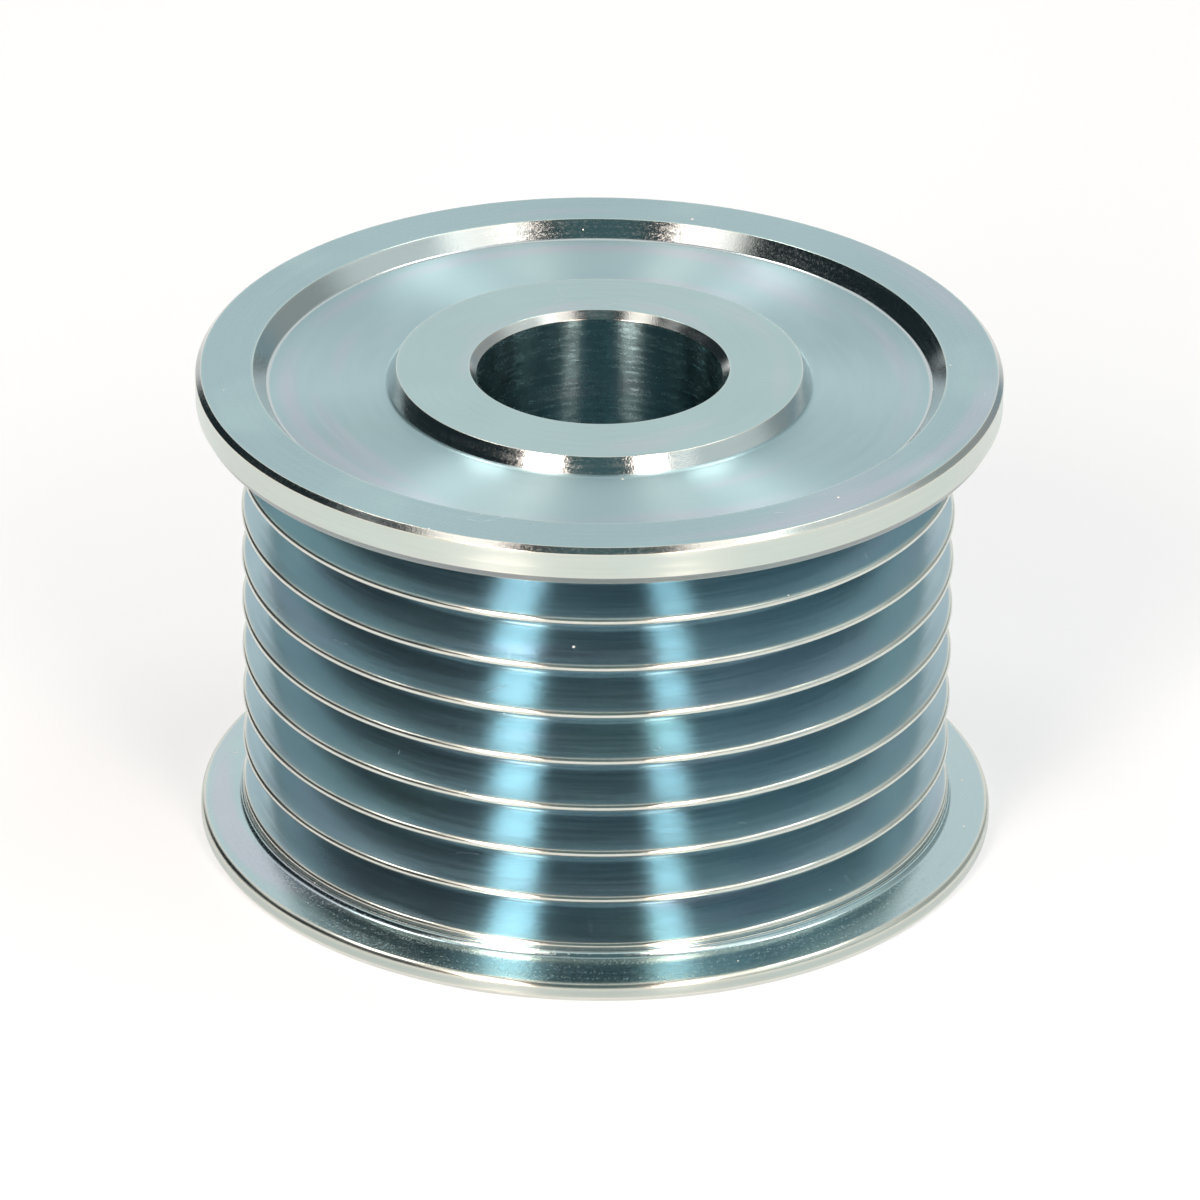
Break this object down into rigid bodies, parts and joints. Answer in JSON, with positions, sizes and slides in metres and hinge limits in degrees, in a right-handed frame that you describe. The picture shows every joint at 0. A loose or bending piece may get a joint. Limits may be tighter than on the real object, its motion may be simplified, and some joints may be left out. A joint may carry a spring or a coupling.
{
  "type": "fan belt pulley",
  "caption": "Flanged multi-rib belt pulley turned from one piece of zinc plated steel, with V grooves round its track and a plain shaft bore.",
  "frame": {"origin": "centre of the lower face, on the bore's axis", "axes": "+Z along the bore's axis, from the thin lower flange to the recessed upper face; X and Y are free, because the part is turned"},
  "size_m": [0.0558, 0.0558, 0.0347],
  "materials": {
    "zinc_plated_steel": "clear blue zinc plate over turned steel, satin on the flat faces and glossier on the groove flanks and chamfers"
  },
  "bodies": {
    "root": {"pulley": "zinc_plated_steel"}
  },
  "joints": []
}
